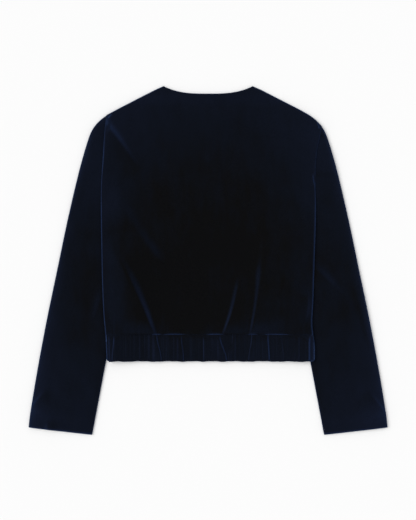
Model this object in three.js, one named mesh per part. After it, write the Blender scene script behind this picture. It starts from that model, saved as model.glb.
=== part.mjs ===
import * as THREE from "three";

// A cropped velvet jacket laid flat on its front, so the back panel is uppermost.
// Millimetres. +X is the wearer's right, +Y runs from hem to neck, +Z is up from the surface.
// The body lies over the inner part of both sleeves, and each layer is a thin wall of cloth.

const { lerp, smoothstep } = THREE.MathUtils;

// Cloth layers
const WALL = 1.6; // velvet with its pile
const BAND_WALL = 2.4; // velvet turned over the elastic
const SEAM = 0.3; // space between two pieces at a seam
const PLY = 0.5; // air between two layers that lie on each other
const SLEEVE_AIR = 0.6; // air inside a sleeve pressed flat
const SLEEVE_LOFT = 1.4; // how much more a sleeve rises clear of the body
const LIP = 0.15; // least turn-down of a cut edge
const FRONT_GAP = 1; // space between the two fronts

// Body, measured on the flat garment
const NECK_POINT_Y = 340;
const NECK_HALF = 87.2;
const BACK_NECK_DROP = 14.8;
const BACK_NECK_POWER = 3; // shape of the shallow back neck
const FRONT_NECK_DROP = 80;
const BODY_LENGTH = 537; // neck point to hem
const BAND_HEIGHT = 53;
const UNDERARM_Y = 85;
const HEM_Y = NECK_POINT_Y - BODY_LENGTH;
const BAND_SEAM_Y = HEM_Y + BAND_HEIGHT;

// Heights that follow from the layers
const SLEEVE_STACK = 2 * WALL + SLEEVE_AIR;
const OVER_SLEEVE = SLEEVE_STACK + PLY;

// Runs over which a layer climbs onto what lies under it
const FRONT_RUN = 14; // across the front, up onto the sleeve
const BACK_RUN = 95; // across the back, a longer and softer climb
const REST_IN = 1; // the climb ends this far before the sleeve's inner fold
const UNDERARM_RUN = 22; // down from the underarm, along the side
const BACK_OVERRUN = 10; // the back starts its climb this far above the underarm

const PUFF = { high: 2.6, at: 20, fade: 50 }; // fullness of the back just above the band
const CLOTH = { color: 0x0d131e, roughness: 0.85, metalness: 0 };

// Outline of shoulder and sleeve: distance out from the centre line at each height.
const OUTLINE = [
  { y: NECK_POINT_Y, out: NECK_HALF },
  { y: 332, out: 105 },
  { y: 308.7, out: 150 },
  { y: 285.3, out: 193.6 },
  { y: 273.6, out: 210 },
  { y: 261.9, out: 220.9 },
  { y: 250, out: 228.2 },
  { y: 238.5, out: 232.8 },
  { y: 215, out: 240.4 },
  { y: 168, out: 253.3 },
  { y: 75, out: 275 },
  { y: -19, out: 294.6 },
  { y: -112, out: 314 },
  { y: -206, out: 331.7 },
  { y: -300, out: 347.3 },
  { y: -325.2, out: 350.2 },
];

// Side edge of the body, from the hem up the side fold and the armhole to the shoulder.
const EDGE = {
  left: [
    { y: HEM_Y, out: 197 },
    { y: -163, out: 198.5 },
    { y: -140, out: 200 },
    { y: -107, out: 203 },
    { y: -66, out: 204.9 },
    { y: 3, out: 206.7 },
    { y: 72, out: 208.1 },
    { y: 118, out: 208.7 },
    { y: 164, out: 207.3 },
    { y: 210, out: 204 },
    { y: 256, out: 200.3 },
    { y: 282, out: 198 },
  ],
  right: [
    { y: HEM_Y, out: 208 },
    { y: -165, out: 207.6 },
    { y: -144, out: 204.5 },
    { y: -122, out: 202.6 },
    { y: -80, out: 204.6 },
    { y: 3, out: 207.3 },
    { y: 100, out: 210 },
    { y: 146, out: 208.8 },
    { y: 187, out: 209.6 },
    { y: 219, out: 212.9 },
    { y: 242, out: 218 },
    { y: 262, out: 221 },
  ],
};

// Inner fold of a sleeve: it slips under the body below the underarm and shows again at the hem.
const INNER_FOLD = [
  { y: -340, out: 226.2 },
  { y: -194, out: 198.7 },
  { y: -120, out: 184.8 },
  { y: -75, out: 175 },
  { y: -35, out: 164 },
  { y: -5, out: 163 },
  { y: 22, out: 175 },
  { y: 45, out: 195 },
  { y: 64, out: 206 },
];
const FOLD_LEAVES = { from: 45, to: 64 }; // where the fold parts from the armhole line

// Drag folds: a soft ridge from (x1, y1) to (x2, y2).
const BACK_FOLDS = [
  { x1: -171, y1: 0, x2: -100, y2: -141, high: 3.2, wide: 13 },
  { x1: -156, y1: 88, x2: -96, y2: 7, high: 1.6, wide: 15 },
  { x1: -201, y1: 268, x2: -159, y2: 199, high: 1.6, wide: 12 },
  { x1: 61, y1: -38, x2: 32, y2: -138, high: 2.6, wide: 10 },
  { x1: 116, y1: 77, x2: 85, y2: -139, high: 1.8, wide: 16 },
  { x1: 198, y1: -88, x2: 189, y2: -122, high: 1.6, wide: 8 },
];
const SLEEVE_FOLDS = {
  left: [{ x1: -214, y1: -66, x2: -234, y2: -122, high: 1.4, wide: 10 }],
  right: [{ x1: 222, y1: -30, x2: 262, y2: -68, high: 1.8, wide: 12 }],
};

// Gathers of the elastic band: where each crosses the band's seam and the hem.
const BAND_GATHERS = [
  { seam: -182, hem: -185, high: 1.1, wide: 4.5 },
  { seam: -101, hem: -92, high: 1.3, wide: 5 },
  { seam: -79, hem: -80, high: 0.7, wide: 4.5 },
  { seam: -53, hem: -49, high: 1.2, wide: 4.5 },
  { seam: -8, hem: -7, high: 0.7, wide: 4.5 },
  { seam: 21, hem: 35, high: 1.3, wide: 5 },
  { seam: 49, hem: 40, high: 0.7, wide: 4.5 },
  { seam: 86, hem: 80, high: 0.9, wide: 4.5 },
  { seam: 115, hem: 118, high: 1.3, wide: 5 },
  { seam: 141, hem: 146, high: 0.8, wide: 4.5 },
  { seam: 171, hem: 167, high: 0.7, wide: 4.5 },
  { seam: 195, hem: 196, high: 1.1, wide: 6 },
];
const RIPPLE = { high: 0.5, pitch: 16.9, drift: 0.6, every: 73 }; // small gathers between them

// Grids. The levels are heights at the side edge, shared by the panels that meet there.
const LEVELS = [
  -128, -110, -90, -68, -46, -24, -4, 14, 30, 44, 56, 66, 76, 86, 98, 116, 138, 160, 182, 204, 224, 244,
];
const BACK_COLUMNS = { neck: 6, side: 9 };
const FRONT_NECK_ANGLES = [0, 22.5, 45, 67.5, 90];
const FRONT_NECK_SPREAD = 27; // spacing of the same columns at the band seam
const BAND_GRID = { columns: 97, rows: 3 };
const SLEEVE_RINGS = { count: 18, even: 0.06, power: 2.3, turn: 5, leavePull: 30, arrivePull: 12 };
const NEAR_EDGE = 3; // last whole grid line before a turned edge
const SLANT = 1.12; // how much further the inset of a sloping shoulder edge reaches along Y
const FRONT_TUCK = 3.2; // the front's shoulder edge lies this far inside the turned back edge

// Value of column `to` where column `from` is `at`, on a smooth curve through a table's rows.
function read(table, from, to, at) {
  const rows = [...table].sort((p, q) => p[from] - q[from]);
  const last = rows.length - 1;
  const slope = (k) => {
    const a = rows[Math.max(k - 1, 0)];
    const b = rows[Math.min(k + 1, last)];
    return (b[to] - a[to]) / (b[from] - a[from]);
  };
  const x = THREE.MathUtils.clamp(at, rows[0][from], rows[last][from]);
  const k = Math.min(Math.max(rows.findIndex((row) => row[from] >= x), 1), last);
  const a = rows[k - 1];
  const b = rows[k];
  const run = b[from] - a[from];
  const s = (x - a[from]) / run;
  const blend = s * s * (3 - 2 * s);
  const rise = s * (1 - s) * run * ((1 - s) * slope(k - 1) - s * slope(k));
  return lerp(a[to], b[to], blend) + rise;
}

const edgeOut = (side, y) => read(EDGE[side], "y", "out", y);
const shoulderY = (out) => read(OUTLINE, "out", "y", out);
const sideOf = (x) => (x < 0 ? "left" : "right");
const signOf = (side) => (side === "left" ? -1 : 1);
const armholeOut = (side, y) => edgeOut(side, y) - WALL;
const shoulderOut = (side) => EDGE[side].at(-1).out;

function innerFoldOut(side, y) {
  const under = read(INNER_FOLD, "y", "out", y);
  return lerp(under, armholeOut(side, y), smoothstep(y, FOLD_LEAVES.from, FOLD_LEAVES.to));
}

function ridge(fold, x, y) {
  const dx = fold.x2 - fold.x1;
  const dy = fold.y2 - fold.y1;
  const length = Math.hypot(dx, dy);
  const along = ((x - fold.x1) * dx + (y - fold.y1) * dy) / length ** 2;
  const aside = ((x - fold.x1) * dy - (y - fold.y1) * dx) / length;
  const taper = smoothstep(along, -0.2, 0.25) * (1 - smoothstep(along, 0.7, 1.15));
  return fold.high * taper * Math.exp(-((aside / fold.wide) ** 2));
}

const ridges = (folds, x, y) => folds.reduce((sum, fold) => sum + ridge(fold, x, y), 0);

function bandGathers(x, y) {
  const down = (BAND_SEAM_Y - y) / BAND_HEIGHT;
  const main = BAND_GATHERS.reduce((sum, gather) => {
    const aside = (x - lerp(gather.seam, gather.hem, down)) / gather.wide;
    return sum + gather.high * Math.exp(-(aside ** 2));
  }, 0);
  const turn = x / RIPPLE.pitch + RIPPLE.drift * Math.sin((2 * Math.PI * x) / RIPPLE.every);
  return main + (RIPPLE.high * (1 + Math.sin(2 * Math.PI * turn))) / 2;
}

// Underside of the front layer: on the surface, and lifted where the sleeve lies under its side.
function frontLower(side, out, y) {
  const inner = innerFoldOut(side, y);
  const below = 1 - smoothstep(y, UNDERARM_Y - UNDERARM_RUN, UNDERARM_Y);
  return OVER_SLEEVE * below * smoothstep(out, inner - FRONT_RUN, inner - REST_IN);
}

// Underside of the back layer, over a front layer of the given wall.
function backLower(x, y, wall) {
  const side = sideOf(x);
  const inner = innerFoldOut(side, y);
  const onFront = 1 - smoothstep(y, UNDERARM_Y - UNDERARM_RUN, UNDERARM_Y + BACK_OVERRUN);
  const atEdge = OVER_SLEEVE + (wall + PLY) * onFront;
  const middle = wall + PLY;
  const climb = smoothstep(Math.abs(x), inner - BACK_RUN, inner - REST_IN);
  return lerp(middle, atEdge, climb);
}

function puff(x, y) {
  const up = Math.max(y - BAND_SEAM_Y, 0);
  const inside = edgeOut(sideOf(x), y) - Math.abs(x);
  const rise = smoothstep(up, 0, PUFF.at) * (1 - smoothstep(up, PUFF.at, PUFF.at + PUFF.fade));
  return PUFF.high * rise * smoothstep(inside, 5, 60);
}

// Upper face of a sleeve: pressed under the body, a little fuller clear of it.
function sleeveUpper(side, out, y) {
  const showing = smoothstep(y, HEM_Y - 50, HEM_Y);
  const cover = lerp(innerFoldOut(side, y), edgeOut(side, y), showing);
  const loft = SLEEVE_LOFT * smoothstep(out, cover + 8, cover + 40);
  return SLEEVE_STACK + loft + ridges(SLEEVE_FOLDS[side], signOf(side) * out, y);
}

// Collects vertices and faces of one closed body.
function makeBody() {
  const points = [];
  const faces = [];
  const add = (x, y, z) => points.push([x, y, z]) - 1;
  const quad = (a, b, c, d) => faces.push([a, b, c], [a, c, d]);
  const finish = (flip) => {
    const order = flip ? faces.map(([a, b, c]) => [a, c, b]) : faces;
    const geometry = new THREE.BufferGeometry();
    geometry.setAttribute("position", new THREE.Float32BufferAttribute(points.flat(), 3));
    geometry.setIndex(order.flat());
    geometry.computeVertexNormals();
    return geometry;
  };
  return { add, quad, finish };
}

// A sheet of cloth over a grid: an upper and a lower skin, and a rim that follows the cut edge.
// place(i, j, inset) gives a point of the plan, and rim(i, j) the steps round the edge as
// [inset, height], from the upper skin to the lower.
function sheet({ columns, rows, place, upper, lower, rim, flip = false }) {
  const body = makeBody();
  const onEdge = (i, j) => i === 0 || j === 0 || i === columns || j === rows;
  const steps = new Map();
  const skins = [upper, lower].map((height, skin) =>
    Array.from({ length: columns + 1 }, (_, i) =>
      Array.from({ length: rows + 1 }, (_, j) => {
        if (!onEdge(i, j)) {
          const [x, y] = place(i, j, 0);
          return body.add(x, y, height(x, y));
        }
        const key = i + "," + j;
        if (!steps.has(key)) {
          const around = rim(i, j);
          steps.set(key, around.map(([inset, z]) => body.add(...place(i, j, inset), z)));
        }
        const made = steps.get(key);
        return skin === 0 ? made[0] : made.at(-1);
      }),
    ),
  );
  for (let i = 0; i < columns; i++) {
    for (let j = 0; j < rows; j++) {
      const [top, under] = skins;
      body.quad(top[i][j], top[i + 1][j], top[i + 1][j + 1], top[i][j + 1]);
      body.quad(under[i][j], under[i][j + 1], under[i + 1][j + 1], under[i + 1][j]);
    }
  }
  const loop = [];
  for (let i = 0; i < columns; i++) loop.push([i, 0]);
  for (let j = 0; j < rows; j++) loop.push([columns, j]);
  for (let i = columns; i > 0; i--) loop.push([i, rows]);
  for (let j = rows; j > 0; j--) loop.push([0, j]);
  loop.forEach((spot, n) => {
    const here = steps.get(spot.join(","));
    const next = steps.get(loop[(n + 1) % loop.length].join(","));
    for (let k = 0; k + 1 < here.length; k++) {
      body.quad(here[k], here[k + 1], next[k + 1], next[k]);
    }
  });
  return body.finish(flip);
}

// A tube of cloth through rings that each have an outer and an inner loop of points.
function tube(rings, flip) {
  const body = makeBody();
  const loops = rings.map(({ outside, inside }) =>
    [outside, inside].map((loop) => loop.map((point) => body.add(...point))),
  );
  const around = rings[0].outside.length;
  for (let m = 0; m < around; m++) {
    const n = (m + 1) % around;
    for (let k = 0; k + 1 < loops.length; k++) {
      const [outA, inA] = loops[k];
      const [outB, inB] = loops[k + 1];
      body.quad(outA[m], outA[n], outB[n], outB[m]);
      body.quad(inA[m], inB[m], inB[n], inA[n]);
    }
    const [outFirst, inFirst] = loops[0];
    const [outLast, inLast] = loops.at(-1);
    body.quad(outFirst[m], inFirst[m], inFirst[n], outFirst[n]);
    body.quad(outLast[m], outLast[n], inLast[n], inLast[m]);
  }
  return body.finish(flip);
}

// Steps round a turned edge: eased over the outside, down to `end`, and up the inside.
function turnedRim(high, low, end, wall) {
  const radius = Math.min(1.8, 0.7 * (high - end));
  return [
    [radius, high],
    [0, high - radius],
    [0, end],
    [wall, end],
    [wall, low],
  ];
}

// Back panel: columns run from the band seam up to the neck and shoulders.
function backColumns() {
  const half = [];
  for (let k = 1; k <= BACK_COLUMNS.neck; k++) {
    half.push({ share: k / BACK_COLUMNS.neck, part: "neck", inside: 0 });
  }
  for (let k = 1; k < BACK_COLUMNS.side; k++) {
    half.push({ share: k / BACK_COLUMNS.side, part: "shoulder", inside: 0 });
  }
  for (const inside of [2 * NEAR_EDGE, NEAR_EDGE, 0]) {
    half.push({ share: 1, part: "shoulder", inside });
  }
  const left = half.map((column) => ({ ...column, side: "left" })).reverse();
  const right = half.map((column) => ({ ...column, side: "right" }));
  return [...left, { share: 0, part: "neck", inside: 0, side: "right" }, ...right];
}

const backTopOut = ({ share, part, side }) =>
  part === "neck" ? NECK_HALF * share : lerp(NECK_HALF, shoulderOut(side), share);

const backTopY = (out) =>
  out < NECK_HALF
    ? NECK_POINT_Y - BACK_NECK_DROP * (1 - (out / NECK_HALF) ** BACK_NECK_POWER)
    : shoulderY(out);

function backGeometry() {
  const columns = backColumns();
  const last = columns.length - 1;
  const bottom = BAND_SEAM_Y + SEAM / 2;
  const top = { left: shoulderY(shoulderOut("left")), right: shoulderY(shoulderOut("right")) };
  const levels = (side) => [
    bottom,
    bottom + NEAR_EDGE,
    ...LEVELS,
    top[side] - NEAR_EDGE * SLANT,
    top[side],
  ];
  const shares = { left: [], right: [] };
  for (const side of ["left", "right"]) {
    shares[side] = levels(side).map((y) => (y - bottom) / (top[side] - bottom));
  }
  const rows = shares.left.length - 1;

  const place = (i, j, inset) => {
    const column = columns[i];
    const out = backTopOut(column);
    const sign = signOf(column.side);
    const reach = (out / shoulderOut(column.side)) * sign;
    const share = lerp(shares.left[j], shares.right[j], (reach + 1) / 2);
    const beside = i === 0 || i === last;
    const insetY = j === rows ? -inset * SLANT : j === 0 && !beside ? inset : 0;
    const y = lerp(bottom, backTopY(out - column.inside), share) + insetY;
    const edge = edgeOut(column.side, lerp(bottom, top[column.side], share));
    const insetX = beside ? inset : 0;
    return [reach * edge - sign * (column.inside + insetX), y];
  };
  const lower = (x, y) => backLower(x, y, WALL) + ridges(BACK_FOLDS, x, y) + puff(x, y);
  const upper = (x, y) => lower(x, y) + WALL;
  const rim = (i, j) => {
    const low = lower(...place(i, j, WALL));
    const beside = i === 0 || i === last;
    const onShoulder = j === rows && columns[i].part === "shoulder";
    const overSleeve = (beside && j > 0) || (onShoulder && columns[i].inside === NEAR_EDGE);
    const open = low - LIP;
    const end = overSleeve ? Math.min(OVER_SLEEVE, open) : onShoulder ? 0 : open;
    return turnedRim(low + WALL, low, end, WALL);
  };
  return sheet({ columns: last, rows, place, upper, lower, rim });
}

// Columns of a front piece, out from the centre: the last ones climb onto the sleeve.
function frontColumns(side, wall, y, plain) {
  const inner = innerFoldOut(side, y);
  const edge = edgeOut(side, y) - wall - SEAM;
  const climb = [1, 0.66, 0.33, 0].map((share, k) =>
    Math.min(inner - lerp(REST_IN, FRONT_RUN, share), edge - 1.5 * (4 - k)),
  );
  const between = lerp(plain.at(-1), climb[0], 0.5);
  return [...plain, between, ...climb, edge];
}

function frontGeometry(side) {
  const bottom = BAND_SEAM_Y + SEAM / 2;
  const edgeTop = shoulderY(armholeOut(side, NECK_POINT_Y) - SEAM) - FRONT_TUCK;
  const levels = [bottom, bottom + NEAR_EDGE, ...LEVELS, edgeTop];
  const shares = levels.map((y) => (y - bottom) / (edgeTop - bottom));
  const angles = FRONT_NECK_ANGLES.map((angle) => THREE.MathUtils.degToRad(angle));
  const atTop = angles.map((angle) => Math.max(NECK_HALF * Math.sin(angle), FRONT_GAP / 2));
  const atBand = angles.map((_, k) => Math.max(FRONT_NECK_SPREAD * k, FRONT_GAP / 2));
  const topY = frontColumns(side, WALL, edgeTop, atTop).map((out, i) => {
    if (i < angles.length) {
      return NECK_POINT_Y - FRONT_TUCK - FRONT_NECK_DROP * Math.cos(angles[i]);
    }
    return shoulderY(out) - FRONT_TUCK;
  });
  const place = (i, j) => {
    const y = lerp(bottom, topY[i], shares[j]);
    const plain = atTop.map((out, k) => lerp(atBand[k], out, shares[j]));
    return [signOf(side) * frontColumns(side, WALL, y, plain)[i], y];
  };
  const lower = (x, y) => frontLower(side, Math.abs(x), y);
  const upper = (x, y) => lower(x, y) + WALL;
  const rim = (i, j) => [
    [0, upper(...place(i, j))],
    [0, lower(...place(i, j))],
  ];
  const columns = topY.length - 1;
  return sheet({ columns, rows: levels.length - 1, place, upper, lower, rim, flip: side === "left" });
}

function frontBandGeometry(side) {
  const rows = BAND_GRID.rows;
  const top = BAND_SEAM_Y - SEAM / 2;
  const place = (i, j) => {
    const y = lerp(HEM_Y, top, j / rows);
    return [signOf(side) * frontColumns(side, BAND_WALL, y, [FRONT_GAP / 2, 90])[i], y];
  };
  const lower = (x, y) => frontLower(side, Math.abs(x), y);
  const upper = (x, y) => lower(x, y) + BAND_WALL;
  const rim = (i, j) => [
    [0, upper(...place(i, j))],
    [0, lower(...place(i, j))],
  ];
  return sheet({ columns: 7, rows, place, upper, lower, rim, flip: side === "left" });
}

function backBandGeometry() {
  const { columns, rows } = BAND_GRID;
  const top = BAND_SEAM_Y - SEAM / 2;
  const place = (i, j, inset) => {
    const beside = i === 0 || i === columns;
    const insetY = beside ? 0 : j === 0 ? inset : j === rows ? -inset : 0;
    const y = lerp(HEM_Y, top, j / rows);
    const left = -edgeOut("left", y);
    const right = edgeOut("right", y);
    const near = i === 1 ? NEAR_EDGE : i === columns - 1 ? -NEAR_EDGE : 0;
    const share = THREE.MathUtils.clamp((i - 1) / (columns - 2), 0, 1);
    const insetX = i === 0 ? inset : i === columns ? -inset : 0;
    return [lerp(left, right, share) + near + insetX, y + insetY];
  };
  const base = (x, y) => backLower(x, y, BAND_WALL);
  const lower = (x, y) => base(x, y) + bandGathers(x, y) / 2;
  const upper = (x, y) => base(x, y) + BAND_WALL + bandGathers(x, y);
  const rim = (i, j) => {
    const spot = place(i, j, BAND_WALL);
    const low = lower(...spot);
    const turned = (i === 0 || i === columns) && j > 0 && j < rows;
    const end = turned ? Math.min(OVER_SLEEVE, low - LIP) : low - LIP;
    return turnedRim(upper(...spot), low, end, BAND_WALL);
  };
  return sheet({ columns, rows, place, upper, lower, rim });
}

// A point at each distance along a curve in the plan.
function measured(curve, pieces = 40) {
  const points = Array.from({ length: pieces + 1 }, (_, k) => curve(k / pieces));
  const reach = [0];
  for (let k = 1; k <= pieces; k++) reach.push(reach[k - 1] + points[k].distanceTo(points[k - 1]));
  const length = reach[pieces];
  const at = (distance) => {
    const k = Math.min(Math.max(reach.findIndex((far) => far >= distance), 1), pieces);
    const share = (distance - reach[k - 1]) / (reach[k] - reach[k - 1]);
    return points[k - 1].clone().lerp(points[k], share);
  };
  return { at, length };
}

function bezier(start, leave, arrive, end, s) {
  const most = start.distanceTo(end) / 3;
  const first = start.clone().addScaledVector(leave, Math.min(SLEEVE_RINGS.leavePull, most));
  const second = end.clone().addScaledVector(arrive, -Math.min(SLEEVE_RINGS.arrivePull, most));
  return new THREE.CubicBezierCurve(start, first, second, end).getPoint(s);
}

// Where each ring of a sleeve lies in the plan: from the armhole line round to the cuff.
function sleevePaths(side) {
  const { count, even, power, turn } = SLEEVE_RINGS;
  const shoulder = new THREE.Vector2(armholeOut(side, 300), shoulderY(shoulderOut(side) - WALL));
  const beyond = OUTLINE.filter((row) => row.out > shoulder.x + 5);
  const past = beyond.map((row) => new THREE.Vector2(row.out, row.y));
  const outer = new THREE.SplineCurve([shoulder, ...past]);
  const cuffY = INNER_FOLD[0].y;
  const innerAt = (y) => new THREE.Vector2(innerFoldOut(side, y), y);
  const down = new THREE.Vector2(0, -1);
  const inward = (tangent) => new THREE.Vector2(tangent.y, -tangent.x).normalize();

  const ends = (k) => {
    const share = k / count;
    const y = lerp(UNDERARM_Y, cuffY, even * share + (1 - even) * share ** power);
    const start = outer.getPointAt(share);
    const end = innerAt(y);
    const chord = end.clone().sub(start).normalize();
    const free = Math.min(k / turn, 1);
    const straight = smoothstep(share, 0.75, 1);
    const leave = down.clone().lerp(inward(outer.getTangentAt(share)), free).lerp(chord, straight);
    const foldTangent = innerAt(Math.max(y - 2, cuffY)).sub(innerAt(Math.min(y + 2, UNDERARM_Y)));
    const arrive = down.clone().lerp(inward(foldTangent), free).lerp(chord, straight);
    return { start, end, leave: leave.normalize(), arrive: arrive.normalize(), free };
  };
  const first = ends(0);
  const armhole = (s) => {
    const y = lerp(first.start.y, first.end.y, s);
    return new THREE.Vector2(armholeOut(side, y), y);
  };
  const firstCurve = (s) => bezier(first.start, first.leave, first.arrive, first.end, s);
  return Array.from({ length: count + 1 }, (_, k) => {
    const { start, end, leave, arrive, free } = ends(k);
    return measured((s) => {
      const bend = armhole(s).sub(firstCurve(s)).multiplyScalar(1 - free);
      return bezier(start, leave, arrive, end, s).add(bend);
    });
  });
}

// One ring of a sleeve: two flat walls joined by a round fold at each end.
function sleeveRing(side, path) {
  const { at, length } = path;
  const highAt = (distance) => {
    const spot = at(distance);
    return sleeveUpper(side, spot.x, spot.y);
  };
  const point = (distance, z) => {
    const spot = at(distance);
    return [signOf(side) * spot.x, spot.y, z];
  };
  const outerR = highAt(SLEEVE_STACK / 2) / 2;
  const innerR = highAt(length - SLEEVE_STACK / 2) / 2;
  const slope = Math.SQRT1_2;
  const round = (radius, wall, lean, rise) => {
    const r = radius - wall;
    return [radius - r * lean, radius + r * rise];
  };
  const fold = (radius, wall, far) =>
    [
      [slope, slope],
      [1, 0],
      [slope, -slope],
    ].map(([lean, rise]) => {
      const [inset, z] = round(radius, wall, lean, rise);
      return point(far ? length - inset : inset, z);
    });
  const top = shoulderY(shoulderOut(side));
  const shares = LEVELS.filter((y) => y > UNDERARM_Y + 8 && y < top - 8)
    .map((y) => (top - y) / (top - UNDERARM_Y))
    .reverse();
  const stations = [outerR, ...shares.map((share) => share * length), length - innerR];
  const back = [...stations].reverse();
  const loop = (wall) => [
    ...fold(outerR, wall, false).reverse(),
    ...stations.map((distance) => point(distance, highAt(distance) - wall)),
    ...fold(innerR, wall, true),
    ...back.map((distance) => point(distance, wall)),
  ];
  return { outside: loop(0), inside: loop(WALL) };
}

function sleeveGeometry(side) {
  const rings = sleevePaths(side).map((path) => sleeveRing(side, path));
  return tube(rings, side === "left");
}

function piece(name, geometry) {
  const mesh = new THREE.Mesh(geometry, new THREE.MeshStandardMaterial(CLOTH));
  mesh.name = name;
  return mesh;
}

function makeJacket() {
  const jacket = new THREE.Group();
  jacket.add(piece("back", backGeometry()));
  jacket.add(piece("band_back", backBandGeometry()));
  for (const side of ["left", "right"]) {
    jacket.add(piece("front_" + side, frontGeometry(side)));
    jacket.add(piece("band_front_" + side, frontBandGeometry(side)));
    jacket.add(piece("sleeve_" + side, sleeveGeometry(side)));
  }
  return jacket;
}

export default makeJacket();
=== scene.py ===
"""A cropped velvet jacket laid flat on its front, so that its back panel is uppermost."""

import math
from collections import namedtuple

import bpy
import numpy as np
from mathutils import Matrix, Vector


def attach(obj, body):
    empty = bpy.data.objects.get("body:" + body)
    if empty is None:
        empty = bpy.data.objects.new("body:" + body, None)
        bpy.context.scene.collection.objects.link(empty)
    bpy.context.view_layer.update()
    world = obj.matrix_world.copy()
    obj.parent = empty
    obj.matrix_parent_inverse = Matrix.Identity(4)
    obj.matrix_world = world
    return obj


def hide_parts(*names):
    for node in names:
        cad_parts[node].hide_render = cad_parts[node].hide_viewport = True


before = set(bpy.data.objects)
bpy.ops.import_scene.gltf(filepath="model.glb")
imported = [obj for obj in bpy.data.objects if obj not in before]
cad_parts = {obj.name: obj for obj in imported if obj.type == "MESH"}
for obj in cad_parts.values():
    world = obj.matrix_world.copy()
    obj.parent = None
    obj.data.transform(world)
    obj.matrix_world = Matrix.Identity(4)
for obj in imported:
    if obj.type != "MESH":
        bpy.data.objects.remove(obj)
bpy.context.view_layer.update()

MM = 0.001

# Cloth layers, in millimetres, as in the solids
WALL = 1.6
BAND_WALL = 2.4
FRONT_BAND_WALL = 1.7
SLEEVE_WALL = 1.4
SEAM = 0.3
CLOSED_SEAM = 0.05  # between the back panel and its band, which show
PLY = 0.5
SLEEVE_STACK = 3.8
SLEEVE_LOFT = 1.4
LEAST_AIR = 0.2  # least air inside a sleeve
OVER_SLEEVE = SLEEVE_STACK + PLY
LIP = 0.15
FRONT_GAP = 1

# Body, in millimetres
NECK_POINT_Y = 340
NECK_HALF = 87.2
BACK_NECK_DROP = 14.8
BACK_NECK_POWER = 3
FRONT_NECK_DROP = 80
HEM_Y = -197
BAND_HEIGHT = 53
BAND_SEAM_Y = HEM_Y + BAND_HEIGHT
UNDERARM_Y = 85

# Runs over which a layer climbs onto what lies under it
FRONT_RUN = 14
UNDERARM_FRONT_RUN = 5
FRONT_RUN_SHORTENS = (15, 55)  # heights between which the first becomes the second
BACK_RUN = 95
REST_IN = 1
UNDERARM_RUN = 22
BACK_OVERRUN = 65

# Fullness of the back above the band, and how far inside its sides it sets in
PUFF = {"high": 0.5, "at": 30, "fade": 80, "inside": (5, 60)}
SEAM_LIFT = {"high": 1.8, "from": 3, "to": 60}
SEAM_GATHERS = {"share": 0.4, "rise": 3, "fade": 16, "stretch": 1.02, "shift": 4}
BACK_SWELL = {"high": 1.1, "inside": (2, 50), "above_band": 40, "ends": (300, 330)}

# Outline of shoulder and sleeve: height, and distance out from the centre line
OUTLINE = [
    (NECK_POINT_Y, NECK_HALF), (332, 105), (308.7, 150), (285.3, 193.6), (273.6, 210), (261.9, 220.9),
    (250, 228.2), (238.5, 232.8), (215, 240.4), (168, 253.3), (75, 275), (-19, 294.6), (-112, 314),
    (-206, 331.7), (-300, 347.3), (-325.2, 350.2),
]

# Side edge of the body: height, and distance out
EDGE = {
    "left": [
        (HEM_Y, 197), (-163, 198.5), (-140, 200), (-107, 203), (-66, 204.9), (3, 206.7),
        (72, 208.1), (118, 208.7), (164, 207.3), (210, 204), (256, 200.3), (282, 198),
    ],
    "right": [
        (HEM_Y, 208), (-165, 207.6), (-144, 204.5), (-122, 202.6), (-80, 204.6), (3, 207.3),
        (100, 210), (146, 208.8), (187, 209.6), (219, 212.9), (242, 218), (262, 221),
    ],
}

# Inner fold of a sleeve: height, and distance out
INNER_FOLD = [
    (-340, 226.2), (-194, 198.7), (-120, 184.8), (-75, 175), (-35, 164), (-5, 163), (22, 175),
    (45, 195), (64, 206),
]
FOLD_LEAVES = (45, 64)

# A crease runs from (x1, y1) to (x2, y2), and its middle bows aside. It is steep on one side and
# gentle on the other; a negative steep width puts the steep side on the other hand. "end" is the
# share of its width at (x2, y2). It rises before the share "start" of its length and sinks after
# the share "fade".
Crease = namedtuple(
    "Crease",
    "x1 y1 x2 y2 high steep gentle bow end fade start",
    defaults=(0.5, 0.8, 0.3),
)
# Share of its width at (x1, y1), the share of its length that it rises over, and where it is gone
CREASE_ENDS = {"first_width": 1.7, "rise": 0.5, "last": 1.2}
BACK_CREASES = [
    Crease(-186, 18, -106, -145, 4.3, 9, 66, -4),
    Crease(-178, 112, -94, -8, 3.0, 11, 70, 3, 1.2),
    Crease(-214, 276, -144, 188, 5.2, 6.5, 60, -3, 0.8, 0.2),
    Crease(64, -30, 31, -142, 2.8, -5, 60, -4),
    Crease(117, 90, 106, -36, 2.0, -9, 60, 0, 1.0),
    Crease(104, -16, 83, -143, 2.7, -5, 60, -3),
    Crease(200, -62, 187, -116, 1.8, 4.5, 16, 0, 1.3, 0.3),
]
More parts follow.
